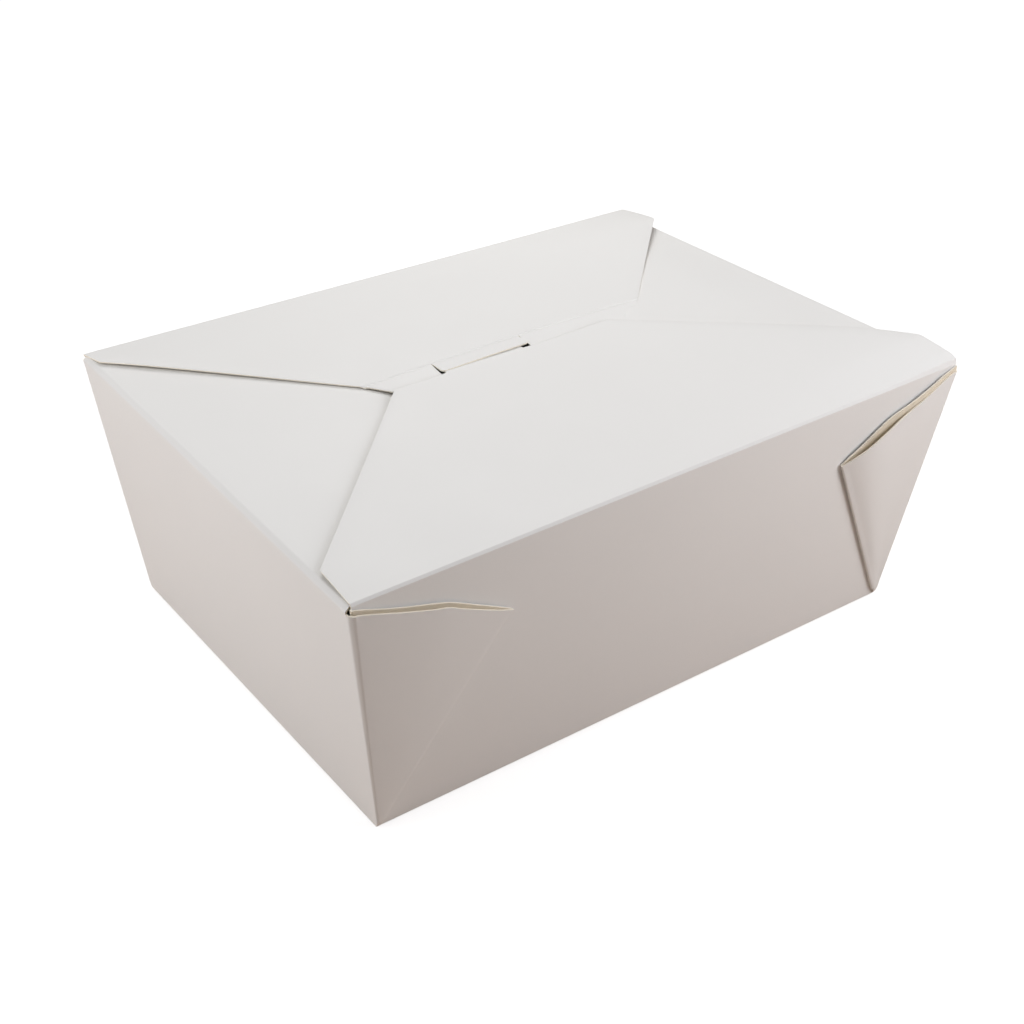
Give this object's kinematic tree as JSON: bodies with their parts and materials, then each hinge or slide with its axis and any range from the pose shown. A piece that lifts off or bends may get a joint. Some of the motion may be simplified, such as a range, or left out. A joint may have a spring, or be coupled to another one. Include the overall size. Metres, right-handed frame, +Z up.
{
  "type": "takeout food box",
  "caption": "Closed paperboard takeout box with a flared tray, webbed corners and flaps that fold over the top and lock with a tab and tongue.",
  "frame": {"origin": "middle of the base, on the surface that the box stands on", "axes": "+Z up, +X along the long front wall, which faces -Y"},
  "size_m": [0.2168, 0.166, 0.089],
  "materials": {
    "board": "smooth white coated paperboard with a slight sheen, cream at the cut edges"
  },
  "bodies": {
    "carton": {"carton": "board"},
    "front_flap": {"front_flap": "board", "lock_tab": "board"}
  },
  "joints": [
    {"name": "front_flap_fold", "type": "hinge", "parent": "carton", "child": "front_flap", "pos_m": [0, -0.08075, 0.087], "axis": [1, 0, 0], "range_deg": [0, 180], "deforming": ["lock_tab"]}
  ]
}
